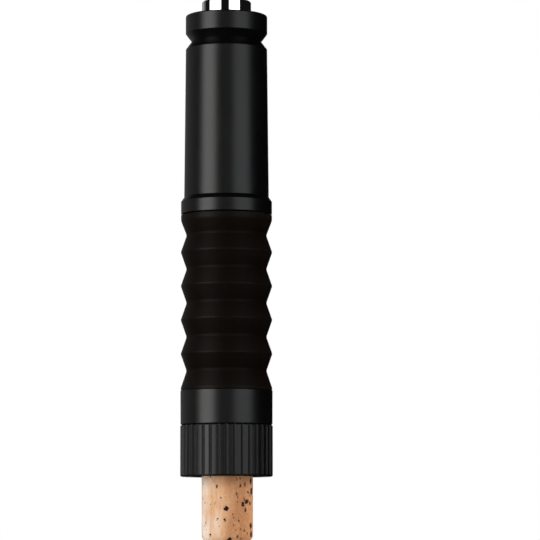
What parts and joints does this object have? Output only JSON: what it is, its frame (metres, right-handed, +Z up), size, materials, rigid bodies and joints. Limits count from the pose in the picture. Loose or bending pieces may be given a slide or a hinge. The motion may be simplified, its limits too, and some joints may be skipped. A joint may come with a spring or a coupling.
{
  "type": "gas cork remover",
  "caption": "Hand-held gas cork remover: push button, black cartridge sleeve, rubber bellows over a hollow needle, ribbed grip ring for the bottle's neck, and a cork on the needle.",
  "frame": {"origin": "centre of the cork's lower end, where the object stands", "axes": "+Z up along the needle, towards the push button; the pictured side faces -Y"},
  "size_m": [0.044, 0.044, 0.2592],
  "materials": {
    "black_metal": "satin black, anodised",
    "chrome": "polished",
    "bellows_rubber": "matt black",
    "black_plastic": "fine satin, black",
    "natural_plastic": "natural white",
    "seal_rubber": "matt dark grey",
    "steel": "brushed",
    "brass": "turned",
    "can_aluminium": "bare, satin",
    "cork": "natural cork with pores"
  },
  "bodies": {
    "core": {"upper_collar": "black_metal", "valve_body": "black_plastic", "core_screws": "steel", "guide_tube": "steel", "needle_hub": "brass", "hub_washer": "natural_plastic", "hub_nut": "brass", "stem_seal": "seal_rubber", "needle": "steel", "valve_stem": "natural_plastic", "bellows": "bellows_rubber"},
    "gasket": {"sleeve_gasket": "seal_rubber"},
    "sleeve": {"cartridge_sleeve": "black_metal", "top_cap": "black_metal", "button_retainer": "brass", "button_spring": "steel"},
    "button": {"push_button": "chrome", "button_plunger": "black_plastic", "pressure_plate": "steel", "plunger_screw": "steel"},
    "cartridge": {"gas_cartridge": "can_aluminium", "cartridge_ferrule": "can_aluminium", "cartridge_valve_housing": "natural_plastic"},
    "guide": {"guide_carrier": "black_plastic", "lower_collar": "black_metal", "slide_sleeve": "can_aluminium", "stop_plate": "steel", "lip_pad": "seal_rubber", "needle_bush": "natural_plastic", "guide_screws": "steel", "snap_ring": "steel"},
    "grip_ring": {"ribbed_ring": "black_plastic", "neck_liner": "seal_rubber"},
    "cork": {"cork": "cork"}
  },
  "joints": [
    {"name": "guide_slide", "type": "slide", "parent": "core", "child": "guide", "axis": [0, 0, 1], "range_m": [0, 0.04], "stiffness_N_per_m": 400, "springref_m": -0.02, "deforming": ["bellows"]},
    {"name": "ring_turn", "type": "hinge", "parent": "guide", "child": "grip_ring", "pos_m": [0, 0, 0.043], "axis": [0, 0, 1], "continuous": true},
    {"name": "cork_pull", "type": "slide", "parent": "guide", "child": "cork", "axis": [0, 0, -1], "range_m": [0, 0.03]},
    {"name": "sleeve_turn", "type": "hinge", "parent": "core", "child": "gasket", "pos_m": [0, 0, 0.157], "axis": [0, 0, 1], "range_deg": [0, 1080]},
    {"name": "sleeve_lift", "type": "slide", "parent": "gasket", "child": "sleeve", "axis": [0, 0, 1], "range_m": [0, 0.006]},
    {"name": "button_press", "type": "slide", "parent": "sleeve", "child": "button", "axis": [0, 0, -1], "range_m": [0, 0.003], "stiffness_N_per_m": 3000, "springref_m": -0.003, "deforming": ["button_spring"]},
    {"name": "cartridge_press", "type": "slide", "parent": "core", "child": "cartridge", "axis": [0, 0, -1], "range_m": [0, 0.003]}
  ],
  "couplings": [
    {"joint": "sleeve_turn", "follows": "sleeve_lift", "rad_per_m": 3141.6},
    {"joint": "cartridge_press", "follows": "button_press", "ratio": 1}
  ]
}
